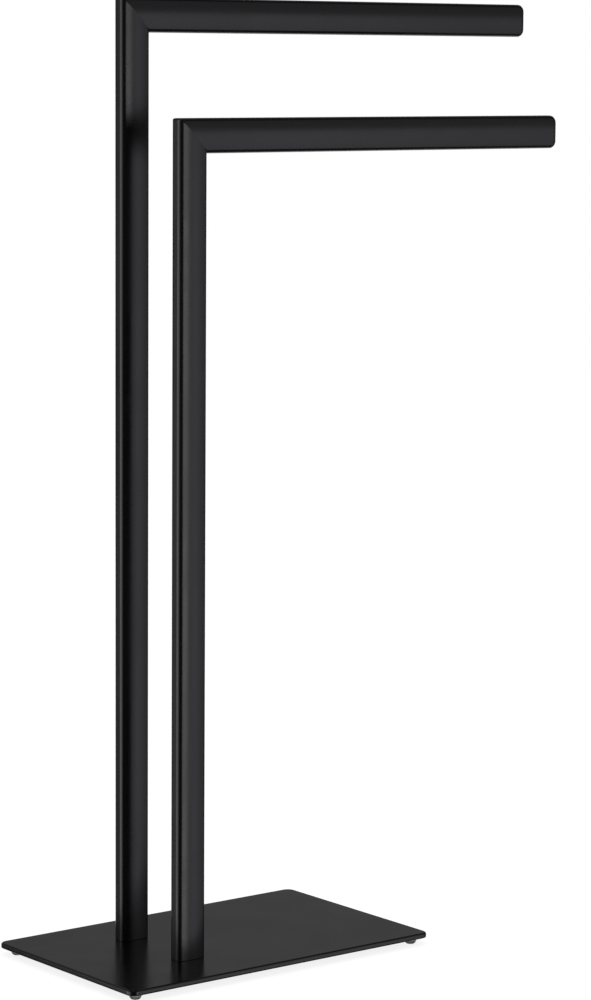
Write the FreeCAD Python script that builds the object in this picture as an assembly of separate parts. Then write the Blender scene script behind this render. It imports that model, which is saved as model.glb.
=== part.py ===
"""Freestanding towel stand: two L-shaped rails of different height on one steel base plate.

Frame: millimetres, +X along the rails towards their free ends, +Y to the rear, +Z up.
The origin lies on the floor, under the centre of the stand's bounding box.
"""
import FreeCAD, Part
import math
import os

V = FreeCAD.Vector

# ---- driving dimensions -------------------------------------------------------------
# base plate
PLATE_LENGTH = 330.0
PLATE_WIDTH = 205.0
PLATE_THICKNESS = 5.0
PLATE_CORNER_RADIUS = 8.0
PLATE_TOP_EDGE_RADIUS = 2.0
PLATE_BOTTOM_EDGE_RADIUS = 1.4

# dome feet, each glued under one corner of the plate
FOOT_DIAMETER = 11.0
FOOT_HEIGHT = 6.0
FOOT_CONTACT_DIAMETER = 5.0
FOOT_RIM_HEIGHT = 1.2
FOOT_INSET = 12.5
ADHESIVE_DIAMETER = 10.4
ADHESIVE_THICKNESS = 0.3

# profile of the tube, shared by both rails
TUBE_HEIGHT = 30.0
TUBE_DEPTH = 17.0
TUBE_CORNER_RADIUS = 6.8
TUBE_CROWN = 0.1
TUBE_WALL = 1.5

# the two L-shaped rails
POST_FROM_PLATE_END = 103.0
POST_SPACING = 84.0
TALL_HEIGHT_OVER_PLATE = 832.0
SHORT_HEIGHT_OVER_PLATE = 730.0
TALL_REACH = 552.0
SHORT_REACH = 518.0
MITRE_WELD_WIDTH = 0.6

# end caps of the rails
CAP_HEAD_LENGTH = 5.0
CAP_EDGE_RADIUS = 4.5
CAP_PLUG_LENGTH = 18.0
CAP_PLUG_WALL = 1.6
CAP_PLUG_CLEARANCE = 0.25
CAP_RIB_HEIGHT = 0.15
CAP_RIB_WIDTH = 1.2
CAP_RIB_SPACING = 10.0

# tapped blocks inside the feet of the posts
BLOCK_HEIGHT = 20.0
BLOCK_CLEARANCE = 0.1
BLOCK_EDGE_CHAMFER = 0.8

# countersunk socket screws, M6 x 20
SCREW_SPACING = 14.0
SCREW_RADIUS = 3.0
SCREW_LENGTH = 20.0
SCREW_HEAD_RADIUS = 6.0
SCREW_HEAD_RIM = 0.3
SCREW_HEAD_RECESS = 0.2
SCREW_TIP_CHAMFER = 0.8
SCREW_SOCKET_ACROSS_FLATS = 4.0
SCREW_SOCKET_DEPTH = 2.4
TAPPED_HOLE_RADIUS = 3.05
PLATE_HOLE_RADIUS = 3.3
COUNTERSINK_CLEARANCE = 0.15

# ---- derived levels and places ----------------------------------------------------
STAND_LENGTH = TALL_REACH
PLATE_LEFT_X = -STAND_LENGTH / 2
PLATE_RIGHT_X = PLATE_LEFT_X + PLATE_LENGTH
PLATE_BOTTOM_Z = FOOT_HEIGHT
PLATE_TOP_Z = PLATE_BOTTOM_Z + PLATE_THICKNESS
POST_X = PLATE_LEFT_X + POST_FROM_PLATE_END
SCREW_HEAD_Z = PLATE_BOTTOM_Z + SCREW_HEAD_RECESS

# margin by which a cutting tool runs past what it cuts
OVERCUT = 5.0
# how far a mitre slab runs each way, enough to clear a whole tube end
MITRE_SLAB_REACH = 2 * TUBE_HEIGHT
# slack used when edges are picked by their level
PICK_SLACK = 0.01


class Rail:
    """Places of one L-shaped rail: its post, its arm and the mitre between them."""

    def __init__(self, name, y, height_over_plate, reach):
        self.name = name
        self.y = y
        self.top_z = PLATE_TOP_Z + height_over_plate
        self.outer_x = POST_X - TUBE_HEIGHT / 2
        self.arm_z = self.top_z - TUBE_HEIGHT / 2
        self.tip_x = PLATE_LEFT_X + reach
        self.tube_end_x = self.tip_x - CAP_HEAD_LENGTH


RAILS = [
    Rail("tall", POST_SPACING / 2, TALL_HEIGHT_OVER_PLATE, TALL_REACH),
    Rail("short", -POST_SPACING / 2, SHORT_HEIGHT_OVER_PLATE, SHORT_REACH),
]


def write(name, shape):
    """Write one sub-part and print its volume."""
    shape.exportStep("parts/" + name + ".step")
    print(f"{name:26s} {len(shape.Solids)} solid(s) {shape.Volume / 1000:9.3f} cm3")


def edges_above(shape, level):
    """Edges of a shape that lie wholly at or above a level."""
    return [edge for edge in shape.Edges if edge.BoundBox.ZMin > level - PICK_SLACK]


def edges_below(shape, level):
    """Edges of a shape that lie wholly at or below a level."""
    return [edge for edge in shape.Edges if edge.BoundBox.ZMax < level + PICK_SLACK]


# ---- tube profile --------------------------------------------------------------------
def profile_outline(inset):
    """Return the tube's outline as a closed wire in the XY plane, drawn in by inset.

    The two wide faces are very shallow crowned arcs, the two narrow faces are flat, and a
    round corner is tangent to both. Local X runs across the wide face, local Y is depth.
    """
    half_height = TUBE_HEIGHT / 2 - inset
    half_depth = TUBE_DEPTH / 2 - inset
    corner = TUBE_CORNER_RADIUS - inset
    half_span = TUBE_HEIGHT / 2
    crown_radius = (half_span ** 2 + TUBE_CROWN ** 2) / (2 * TUBE_CROWN) - inset
    crown_centre_y = half_depth - crown_radius
    corner_x = half_height - corner
    corner_y = crown_centre_y + math.sqrt((crown_radius - corner) ** 2 - corner_x ** 2)
    corner_centre = V(corner_x, corner_y, 0)
    # the crown meets the corner in the direction from its own centre through the corner's
    to_corner = (corner_centre - V(0, crown_centre_y, 0)).normalize()
    tangent = corner_centre + to_corner * corner
    middle_angle = math.atan2(to_corner.y, to_corner.x) / 2
    corner_middle = corner_centre + V(math.cos(middle_angle), math.sin(middle_angle), 0) * corner
    side = corner_centre + V(corner, 0, 0)

    def mirrored(point, sign_x, sign_y):
        return V(sign_x * point.x, sign_y * point.y, 0)

    edges = [
        Part.Arc(mirrored(tangent, -1, 1), V(0, half_depth, 0), tangent),
        Part.Arc(tangent, corner_middle, side),
        Part.LineSegment(side, mirrored(side, 1, -1)),
        Part.Arc(mirrored(side, 1, -1), mirrored(corner_middle, 1, -1), mirrored(tangent, 1, -1)),
        Part.Arc(mirrored(tangent, 1, -1), V(0, -half_depth, 0), mirrored(tangent, -1, -1)),
        Part.Arc(mirrored(tangent, -1, -1), mirrored(corner_middle, -1, -1), mirrored(side, -1, -1)),
        Part.LineSegment(mirrored(side, -1, -1), mirrored(side, -1, 1)),
        Part.Arc(mirrored(side, -1, 1), mirrored(corner_middle, -1, 1), mirrored(tangent, -1, 1)),
    ]
    return Part.Wire([edge.toShape() for edge in edges])


def upright_prism(inset, y, bottom_z, top_z):
    """Solid of the profile standing on the post's axis, between two levels."""
    outline = profile_outline(inset)
    outline.translate(V(POST_X, y, bottom_z))
    return Part.Face(outline).extrude(V(0, 0, top_z - bottom_z))


def level_prism(inset, y, axis_z, start_x, end_x):
    """Solid of the profile lying along +X, its wide faces turned to front and rear."""
    outline = profile_outline(inset)
    outline.rotate(V(0, 0, 0), V(0, 1, 0), 90)
    outline.translate(V(start_x, y, axis_z))
    return Part.Face(outline).extrude(V(end_x - start_x, 0, 0))


def upright_tube(rail, top_z):
    """Hollow length of tube on the post's axis, from the plate up to top_z."""
    outer = upright_prism(0, rail.y, PLATE_TOP_Z, top_z)
    inner = upright_prism(TUBE_WALL, rail.y, PLATE_TOP_Z - OVERCUT, top_z + OVERCUT)
    return outer.cut(inner)


def level_tube(rail, start_x):
    """Hollow length of tube on the arm's axis, from start_x to the end cap."""
    outer = level_prism(0, rail.y, rail.arm_z, start_x, rail.tube_end_x)
    inner = level_prism(TUBE_WALL, rail.y, rail.arm_z, start_x - OVERCUT, rail.tube_end_x + OVERCUT)
    return outer.cut(inner)


# ---- mitre between post and arm -----------------------------------------------------
def mitre_side(rail, low_offset, high_offset):
    """Slab across the rail between two planes parallel to the 45 degree mitre.

    The offsets are measured square to the mitre plane, positive towards the arm.
    """
    step = V(1, 0, 1).normalize()
    along = V(1, 0, -1).normalize() * MITRE_SLAB_REACH
    centre = V(POST_X, rail.y, rail.arm_z)
    corners = [
        centre + step * low_offset - along,
        centre + step * low_offset + along,
        centre + step * high_offset + along,
        centre + step * high_offset - along,
    ]
    depth = V(0, TUBE_DEPTH, 0)
    outline = Part.makePolygon([corner - depth for corner in corners + corners[:1]])
    return Part.Face(outline).extrude(depth * 2)


def make_post(rail):
    """Post tube, cut at 45 degrees at its top."""
    tube = upright_tube(rail, rail.top_z + OVERCUT)
    beyond = mitre_side(rail, -MITRE_WELD_WIDTH / 2, MITRE_SLAB_REACH)
    return tube.cut(beyond)


def make_arm(rail):
    """Arm tube, cut at 45 degrees where it meets the post."""
    tube = level_tube(rail, rail.outer_x - OVERCUT)
    beyond = mitre_side(rail, -MITRE_SLAB_REACH, MITRE_WELD_WIDTH / 2)
    return tube.cut(beyond)


def make_mitre_weld(rail):
    """Ring of weld metal that fills the mitre, dressed flush with both tubes."""
    post_side = mitre_side(rail, -MITRE_WELD_WIDTH / 2, 0)
    arm_side = mitre_side(rail, 0, MITRE_WELD_WIDTH / 2)
    post_half = upright_tube(rail, rail.top_z + OVERCUT).common(post_side)
    arm_half = level_tube(rail, rail.outer_x - OVERCUT).common(arm_side)
    return post_half.fuse(arm_half).removeSplitter()


# ---- base plate, feet -----------------------------------------------------------------
def rounded_plate():
    """Flat plate with round corners and softened top and bottom edges."""
    low_corner = V(PLATE_LEFT_X, -PLATE_WIDTH / 2, PLATE_BOTTOM_Z)
    plate = Part.makeBox(PLATE_LENGTH, PLATE_WIDTH, PLATE_THICKNESS, low_corner)
    upright_edges = [edge for edge in plate.Edges if edge.BoundBox.ZLength > PLATE_THICKNESS / 2]
    plate = plate.makeFillet(PLATE_CORNER_RADIUS, upright_edges)
    plate = plate.makeFillet(PLATE_TOP_EDGE_RADIUS, edges_above(plate, PLATE_TOP_Z))
    return plate.makeFillet(PLATE_BOTTOM_EDGE_RADIUS, edges_below(plate, PLATE_BOTTOM_Z))


def screw_places(rail):
    """Axes of the two screws that hold one post, as points on the floor."""
    return [V(POST_X + side * SCREW_SPACING / 2, rail.y, 0) for side in (-1, 1)]


def countersunk_hole(place):
    """Cutter for one screw hole through the plate, countersunk from below."""
    mouth_radius = SCREW_HEAD_RADIUS + COUNTERSINK_CLEARANCE
    mouth_height = SCREW_HEAD_RECESS + SCREW_HEAD_RIM
    cone_height = mouth_radius - PLATE_HOLE_RADIUS
    below_plate = place + V(0, 0, PLATE_BOTTOM_Z - OVERCUT)
    mouth_top = place + V(0, 0, PLATE_BOTTOM_Z + mouth_height)
    shaft = Part.makeCylinder(PLATE_HOLE_RADIUS, PLATE_THICKNESS + 2 * OVERCUT, below_plate)
    mouth = Part.makeCylinder(mouth_radius, mouth_height + OVERCUT, below_plate)
    cone = Part.makeCone(mouth_radius, PLATE_HOLE_RADIUS, cone_height, mouth_top)
    return shaft.fuse([mouth, cone])


def make_base_plate():
    """Base plate with four countersunk holes for the posts' screws."""
    cutters = [countersunk_hole(place) for rail in RAILS for place in screw_places(rail)]
    return rounded_plate().cut(cutters)


def foot_places():
    """Name and floor point of each foot."""
    places = {}
    for row, sign in (("front", -1), ("rear", 1)):
        y = sign * (PLATE_WIDTH / 2 - FOOT_INSET)
        places[row + "_left"] = V(PLATE_LEFT_X + FOOT_INSET, y, 0)
        places[row + "_right"] = V(PLATE_RIGHT_X - FOOT_INSET, y, 0)
    return places


def make_foot(place):
    """Dome foot: a short rim, then an elliptic dome down to a small flat contact face."""
    rim_radius = FOOT_DIAMETER / 2
    contact_radius = FOOT_CONTACT_DIAMETER / 2
    glue_z = FOOT_HEIGHT - ADHESIVE_THICKNESS
    rim_z = glue_z - FOOT_RIM_HEIGHT
    # the point of the dome half way round from its contact face to its rim
    bulge = math.cos(math.radians(45))
    dome_middle = V(contact_radius + (rim_radius - contact_radius) * bulge, 0, rim_z * (1 - bulge))
    edges = [
        Part.LineSegment(V(0, 0, 0), V(contact_radius, 0, 0)),
        Part.Arc(V(contact_radius, 0, 0), dome_middle, V(rim_radius, 0, rim_z)),
        Part.LineSegment(V(rim_radius, 0, rim_z), V(rim_radius, 0, glue_z)),
        Part.LineSegment(V(rim_radius, 0, glue_z), V(0, 0, glue_z)),
        Part.LineSegment(V(0, 0, glue_z), V(0, 0, 0)),
    ]
    half_section = Part.Face(Part.Wire([edge.toShape() for edge in edges]))
    foot = half_section.revolve(V(0, 0, 0), V(0, 0, 1), 360)
    foot.translate(place)
    return foot


def make_adhesive(place):
    """Thin adhesive disc between a foot and the plate."""
    glue_z = FOOT_HEIGHT - ADHESIVE_THICKNESS
    return Part.makeCylinder(ADHESIVE_DIAMETER / 2, ADHESIVE_THICKNESS, place + V(0, 0, glue_z))


# ---- fixings inside the posts ---------------------------------------------------------
def make_block(rail):
    """Steel block welded inside the foot of a post, with two tapped holes."""
    inset = TUBE_WALL + BLOCK_CLEARANCE
    block_top_z = PLATE_TOP_Z + BLOCK_HEIGHT
    block = upright_prism(inset, rail.y, PLATE_TOP_Z, block_top_z)
    block = block.makeChamfer(BLOCK_EDGE_CHAMFER, edges_above(block, block_top_z))
    depth = BLOCK_HEIGHT + 2 * OVERCUT
    holes = [
        Part.makeCylinder(TAPPED_HOLE_RADIUS, depth, place + V(0, 0, PLATE_TOP_Z - OVERCUT))
        for place in screw_places(rail)
    ]
    return block.cut(holes)


def hexagonal_cutter(across_flats, bottom_z, top_z):
    """Upright hexagonal prism on the Z axis."""
    sides = 6
    corner_radius = across_flats / 2 / math.cos(math.pi / sides)
    turns = [2 * math.pi * step / sides for step in range(sides + 1)]
    corners = [V(corner_radius * math.cos(a), corner_radius * math.sin(a), bottom_z) for a in turns]
    return Part.Face(Part.makePolygon(corners)).extrude(V(0, 0, top_z - bottom_z))


def make_screw(place):
    """Countersunk screw with a hexagonal socket, head down."""
    cone_height = SCREW_HEAD_RADIUS - SCREW_RADIUS
    rim = Part.makeCylinder(SCREW_HEAD_RADIUS, SCREW_HEAD_RIM)
    cone = Part.makeCone(SCREW_HEAD_RADIUS, SCREW_RADIUS, cone_height, V(0, 0, SCREW_HEAD_RIM))
    shank_top = SCREW_LENGTH - SCREW_TIP_CHAMFER
    shank = Part.makeCylinder(SCREW_RADIUS, shank_top)
    tip_radius = SCREW_RADIUS - SCREW_TIP_CHAMFER
    tip = Part.makeCone(SCREW_RADIUS, tip_radius, SCREW_TIP_CHAMFER, V(0, 0, shank_top))
    socket = hexagonal_cutter(SCREW_SOCKET_ACROSS_FLATS, -OVERCUT, SCREW_SOCKET_DEPTH)
    screw = rim.fuse([cone, shank, tip]).removeSplitter().cut(socket)
    screw.translate(place + V(0, 0, SCREW_HEAD_Z))
    return screw


def make_screws(rail):
    """The two screws of one post, as separate solids."""
    return Part.makeCompound([make_screw(place) for place in screw_places(rail)])


# ---- end caps ----------------------------------------------------------------------------
def cap_ribs(rail):
    """Crush ribs on the wide faces of a cap's plug, one pair above and below the middle."""
    inset = TUBE_WALL + CAP_PLUG_CLEARANCE
    start_x = rail.tube_end_x - CAP_PLUG_LENGTH + CAP_RIB_WIDTH
    thick = level_prism(inset - CAP_RIB_HEIGHT, rail.y, rail.arm_z, start_x, rail.tube_end_x)
    bands = []
    for side in (-1, 1):
        centre_z = rail.arm_z + side * CAP_RIB_SPACING / 2
        low_corner = V(start_x, rail.y - TUBE_DEPTH, centre_z - CAP_RIB_WIDTH / 2)
        bands.append(Part.makeBox(CAP_PLUG_LENGTH, 2 * TUBE_DEPTH, CAP_RIB_WIDTH, low_corner))
    return thick.common(Part.makeCompound(bands))


def make_end_cap(rail):
    """Moulded cap: a head with a round edge, flush with the tube, and a hollow plug."""
    head = level_prism(0, rail.y, rail.arm_z, rail.tube_end_x, rail.tip_x)
    outer_edges = [edge for edge in head.Edges if edge.BoundBox.XMin > rail.tip_x - PICK_SLACK]
    head = head.makeFillet(CAP_EDGE_RADIUS, outer_edges)
    inset = TUBE_WALL + CAP_PLUG_CLEARANCE
    plug_start = rail.tube_end_x - CAP_PLUG_LENGTH
    plug = level_prism(inset, rail.y, rail.arm_z, plug_start, rail.tube_end_x)
    hollow = level_prism(inset + CAP_PLUG_WALL, rail.y, rail.arm_z, plug_start - OVERCUT, rail.tube_end_x)
    cap = head.fuse([plug, cap_ribs(rail)]).removeSplitter()
    return cap.cut(hollow)


def main():
    """Build every sub-part of the stand and write it."""
    os.makedirs("parts", exist_ok=True)
    write("base_plate", make_base_plate())
    for corner, place in foot_places().items():
        write("foot_" + corner, make_foot(place))
        write("foot_adhesive_" + corner, make_adhesive(place))
    for rail in RAILS:
        write(rail.name + "_post", make_post(rail))
        write(rail.name + "_arm", make_arm(rail))
        write(rail.name + "_mitre_weld", make_mitre_weld(rail))
        write(rail.name + "_end_cap", make_end_cap(rail))
        write(rail.name + "_post_block", make_block(rail))
        write(rail.name + "_post_screws", make_screws(rail))


main()
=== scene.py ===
"""Looks of a freestanding towel stand: coated tubes, plate, feet and fixings on its fixed frame.

Lengths are metres in the stand's own frame: +X along the rails towards their free ends,
+Y to the rear, +Z up, with the origin on the floor under the stand's centre. Azimuths of
the studio are degrees round the stand, 0 in front of it (-Y) and 90 on its left (-X).
"""
import logging
import math
from dataclasses import dataclass
from enum import Enum
from typing import Callable, Mapping, NamedTuple, Sequence

import bmesh
import bpy
import numpy as np
from mathutils import Matrix, Vector


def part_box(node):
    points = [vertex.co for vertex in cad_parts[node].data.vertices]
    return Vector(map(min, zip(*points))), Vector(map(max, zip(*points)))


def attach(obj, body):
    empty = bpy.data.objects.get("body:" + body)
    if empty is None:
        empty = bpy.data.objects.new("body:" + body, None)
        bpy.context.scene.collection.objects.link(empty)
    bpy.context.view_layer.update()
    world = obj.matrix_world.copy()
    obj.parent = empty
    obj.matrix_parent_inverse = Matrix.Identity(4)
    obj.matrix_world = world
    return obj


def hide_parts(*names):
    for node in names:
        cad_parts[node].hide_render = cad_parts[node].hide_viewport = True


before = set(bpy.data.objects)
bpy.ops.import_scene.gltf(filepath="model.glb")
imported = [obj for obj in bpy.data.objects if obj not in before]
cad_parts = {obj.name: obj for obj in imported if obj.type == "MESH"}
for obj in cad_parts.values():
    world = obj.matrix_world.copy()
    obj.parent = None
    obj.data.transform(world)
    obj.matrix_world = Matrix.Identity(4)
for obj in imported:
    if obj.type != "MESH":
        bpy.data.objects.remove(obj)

LOG = logging.getLogger("towel_stand")
BODY = "root"
RAILS = ("tall", "short")
MM = 0.001
HAIR = 0.01 * MM  # too small a distance to see
CREASE = math.radians(32)  # an edge that turns by more stays sharp

Colour = tuple[float, float, float]
Span = tuple[float, float]
Socket = bpy.types.NodeSocket
Sockets = Mapping[str, Socket]
Value = object  # what an input takes: an output socket or a plain value

WHITE: Colour = (1.0, 1.0, 1.0)
COOL_WHITE: Colour = (1.0, 0.96, 1.045)


# ---- node trees -------------------------------------------------------------------------
class Graph:
    """A node tree with short calls that add, feed and join its nodes."""

    def __init__(self, tree: bpy.types.NodeTree) -> None:
        """Take over a tree."""
        self.tree = tree

    def add(self, kind: str, values: Mapping[int | str, Value] | None = None,
            **settings: Value) -> bpy.types.Node:
        """Add one node.

        Args:
            kind: The node's type name.
            values: Sockets or plain values for its inputs, by name or index.
            **settings: Attributes set on the node before its inputs.

        Returns:
            The new node.
        """
        node = self.tree.nodes.new(kind)
        for name, setting in settings.items():
            setattr(node, name, setting)
        for key, value in (values or {}).items():
            self.feed(node.inputs[key], value)
        return node

    def feed(self, socket: Socket, value: Value) -> None:
        """Link a socket to an input, or set the input's own value.

        Args:
            socket: The input.
            value: An output socket or a plain value.
        """
        if isinstance(value, Socket):
            self.tree.links.new(value, socket)
        else:
            socket.default_value = value

    def math(self, operation: str, *values: Value, clamp: bool = False) -> Socket:
        """Add a Math node."""
        node = self.add("ShaderNodeMath", dict(enumerate(values)), operation=operation, use_clamp=clamp)
        return node.outputs[0]

    def plus(self, first: Value, second: Value) -> Socket:
        """Add two numbers."""
        return self.math("ADD", first, second)

    def minus(self, first: Value, second: Value) -> Socket:
        """Take the second number from the first."""
        return self.math("SUBTRACT", first, second)

    def times(self, first: Value, second: Value) -> Socket:
        """Multiply two numbers."""
        return self.math("MULTIPLY", first, second)

    def over(self, first: Value, second: Value, clamp: bool = False) -> Socket:
        """Divide the first number by the second, held between 0 and 1 if asked."""
        return self.math("DIVIDE", first, second, clamp=clamp)

    def ramp(self, value: Value, low: float, high: float,
             to_low: float = 0.0, to_high: float = 1.0) -> Socket:
        """Map a value smoothly from one range to another."""
        values = {0: value, 1: low, 2: high, 3: to_low, 4: to_high}
        return self.add("ShaderNodeMapRange", values, interpolation_type="SMOOTHSTEP").outputs[0]

    def blend(self, share: Value, first: Value, second: Value) -> Socket:
        """Blend two numbers."""
        return self.add("ShaderNodeMix", {0: share, 2: first, 3: second}, data_type="FLOAT").outputs[0]

    def tint(self, share: Value, first: Value, second: Value) -> Socket:
        """Blend two colours."""
        return self.add("ShaderNodeMix", {0: share, 6: first, 7: second}, data_type="RGBA").outputs[2]

    def place(self) -> Socket:
        """Places on the piece."""
        return self.add("ShaderNodeTexCoord").outputs["Object"]

    def normal(self) -> Socket:
        """The surface's own normal."""
        return self.add("ShaderNodeNewGeometry").outputs["Normal"]

    def axes(self, vector: Value) -> Sequence[Socket]:
        """A vector's X, Y and Z."""
        return self.add("ShaderNodeSeparateXYZ", {0: vector}).outputs

    def noise(self, place: Value, scale: Value, detail: float, **more: float) -> Socket:
        """Cloudy noise with a number of clouds to the metre."""
        values = {"Vector": place, "Scale": scale, "Detail": detail, **more}
        return self.add("ShaderNodeTexNoise", values).outputs[0]

    def cells(self, place: Value, scale: Value) -> Sockets:
        """Scattered cells, a number of them to the metre."""
        return self.add("ShaderNodeTexVoronoi", {"Vector": place, "Scale": scale}).outputs


def opaque(colour: Colour, factor: float = 1.0) -> tuple[float, float, float, float]:
    """Colour made darker or lighter by a factor, with full opacity."""
    return (*(min(1.0, channel * factor) for channel in colour), 1.0)


def fresh_graph(owner: bpy.types.Material | bpy.types.World) -> Graph:
    """Give a material or world an empty node tree.

    Args:
        owner: The material or world.

    Returns:
        The tree's graph.
    """
    owner.use_nodes = True
    owner.node_tree.nodes.clear()
    return Graph(owner.node_tree)


class Effect:
    """A shader node group with named inputs and outputs, built once and shared by finishes."""

    name = ""
    inputs: Mapping[str, float] = {}
    outputs: Sequence[str] = ()

    def group(self) -> bpy.types.NodeTree:
        """Build the effect's node group the first time it is asked for.

        Returns:
            The node group.
        """
        made = bpy.data.node_groups.get(self.name)
        if made:
            return made
        tree = bpy.data.node_groups.new(self.name, "ShaderNodeTree")
        for label, value in self.inputs.items():
            socket = tree.interface.new_socket(label, in_out="INPUT", socket_type="NodeSocketFloat")
            socket.default_value = value
        for label in self.outputs:
            tree.interface.new_socket(label, in_out="OUTPUT", socket_type="NodeSocketFloat")
        graph = Graph(tree)
        graph.add("NodeGroupOutput", self.build(graph, graph.add("NodeGroupInput").outputs))
        return tree

    def build(self, graph: Graph, asked: Sockets) -> Mapping[str, Value]:
        """Make the effect's nodes."""
        raise NotImplementedError

    def put(self, graph: Graph, **values: Value) -> Sockets:
        """Put the effect into a material."""
        inputs = {key.replace("_", " "): value for key, value in values.items()}
        return graph.add("ShaderNodeGroup", inputs, node_tree=self.group()).outputs


class CoatSkin(Effect):
    """Skin of a baked powder coat: slow orange peel with a fine grain on top."""

    name = "coat_skin"
    inputs = {"Peel Size": 2.2 * MM, "Grain Size": 0.25 * MM, "Grain Share": 0.35}
    outputs = ("Height", "Grain")

    def build(self, graph: Graph, asked: Sockets) -> Mapping[str, Value]:
        """Sum a slow and a fine noise.

        Args:
            graph: The group's own graph.
            asked: Peel Size, Grain Size and Grain Share.

        Returns:
            The skin's height from 0 to 1, and the grain alone.
        """
        place = graph.place()
        peel = graph.noise(place, graph.over(1.0, asked["Peel Size"]), detail=1.0)
        grain = graph.noise(place, graph.over(1.0, asked["Grain Size"]), detail=2.0)
        slow = graph.times(peel, graph.minus(1.0, asked["Grain Share"]))
        return {"Height": graph.plus(slow, graph.times(grain, asked["Grain Share"])), "Grain": grain}


class HandMarks(Effect):
    """Faint wiped patches, where handling and cleaning changed the gloss a little."""

    name = "hand_marks"
    inputs = {"Size": 70 * MM, "Amount": 0.04}
    outputs = ("Gloss Shift",)
    contrast: Span = (0.35, 0.65)
    shift: Span = (-0.5, 0.5)

    def build(self, graph: Graph, asked: Sockets) -> Mapping[str, Value]:
        """Threshold a slow warped noise.

        Args:
            graph: The group's own graph.
            asked: Size and Amount.

        Returns:
            A shift of the roughness, centred on 0.
        """
        scale = graph.over(1.0, asked["Size"])
        noise = graph.noise(graph.place(), scale, detail=5.0, Roughness=0.62, Distortion=0.8)
        return {"Gloss Shift": graph.times(graph.ramp(noise, *self.contrast, *self.shift), asked["Amount"])}


class SettledDust(Effect):
    """Sparse fine dust that settles on surfaces that face up."""

    name = "settled_dust"
    inputs = {"Speck Size": 0.7 * MM, "Amount": 0.5}
    outputs = ("Mask",)
    speck_edge: Span = (0.10, 0.04)
    chosen_cells: Span = (0.80, 0.95)
    level_tops: Span = (0.55, 0.95)

    def build(self, graph: Graph, asked: Sockets) -> Mapping[str, Value]:
        """Scatter specks and hold them to level tops.

        Args:
            graph: The group's own graph.
            asked: Speck Size and Amount.

        Returns:
            Where the dust lies, from 0 to 1.
        """
        cells = graph.cells(graph.place(), graph.over(1.0, asked["Speck Size"]))
        specks = graph.ramp(cells["Distance"], *self.speck_edge)
        lot = graph.add("ShaderNodeSeparateColor", {0: cells["Color"]}).outputs[0]
        chosen = graph.ramp(lot, *self.chosen_cells)
        level = graph.ramp(graph.axes(graph.normal())[2], *self.level_tops)
        mask = graph.times(graph.times(specks, chosen), level)
        return {"Mask": graph.times(mask, asked["Amount"])}


class EdgeRub(Effect):
    """Where an edge stands out, the coat is thinner and rubbed a little smoother."""

    name = "edge_rub"
    inputs = {"Break Size": 6 * MM, "Amount": 0.6}
    outputs = ("Mask",)
    reach = 0.8 * MM
    edge_likeness: Span = (0.995, 0.90)
    patch_edge: Span = (0.42, 0.66)

    def build(self, graph: Graph, asked: Sockets) -> Mapping[str, Value]:
        """Compare the surface's normal with one rounded over the edges.

        Args:
            graph: The group's own graph.
            asked: Break Size and Amount.

        Returns:
            How far the edge is rubbed, from 0 to 1.
        """
        rounded = graph.add("ShaderNodeBevel", {"Radius": self.reach}, samples=4).outputs[0]
        alike = graph.add("ShaderNodeVectorMath", {0: rounded, 1: graph.normal()}, operation="DOT_PRODUCT")
        edge = graph.ramp(alike.outputs["Value"], *self.edge_likeness)
        patches = graph.noise(graph.place(), graph.over(1.0, asked["Break Size"]), detail=3.0)
        mask = graph.times(edge, graph.ramp(patches, *self.patch_edge))
        return {"Mask": graph.times(mask, asked["Amount"])}


# ---- finishes ---------------------------------------------------------------------------
class Slot(Enum):
    """Material slots of the stand's record."""

    PLATE = "plate_coat"
    TUBE = "tube_coat"
    CAP = "cap_plastic"
    FOOT = "clear_foot"
    ADHESIVE = "foot_adhesive"
    BLOCK = "block_steel"
    SCREW = "screw_steel"


class Layers(NamedTuple):
    """What changes over a finish: its colour, its roughness, and a height mask with its depth."""

    colour: Socket
    roughness: Socket
    height: Socket
    depth: float


@dataclass(frozen=True)
class Finish:
    """A surface finish, made once as a material."""

    name: str
    colour: Colour
    roughness: float

    def material(self) -> bpy.types.Material:
        """Build the finish's material the first time it is asked for.

        Returns:
            The material.
        """
        made = bpy.data.materials.get(self.name)
        if made:
            return made
        material = bpy.data.materials.new(self.name)
        graph = fresh_graph(material)
        shader = graph.add("ShaderNodeBsdfPrincipled")
        graph.add("ShaderNodeOutputMaterial", {"Surface": shader.outputs[0]})
        layers = self.dress(graph, shader.inputs)
        relief = graph.add("ShaderNodeBump", {"Height": layers.height, "Distance": layers.depth})
        graph.feed(shader.inputs["Base Color"], layers.colour)
        graph.feed(shader.inputs["Roughness"], layers.roughness)
        graph.feed(shader.inputs["Normal"], relief.outputs[0])
        return material

    def dress(self, graph: Graph, shader: Sockets) -> Layers:
        """Work out the finish's layers, and set what stays the same over the surface."""
        raise NotImplementedError


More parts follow.
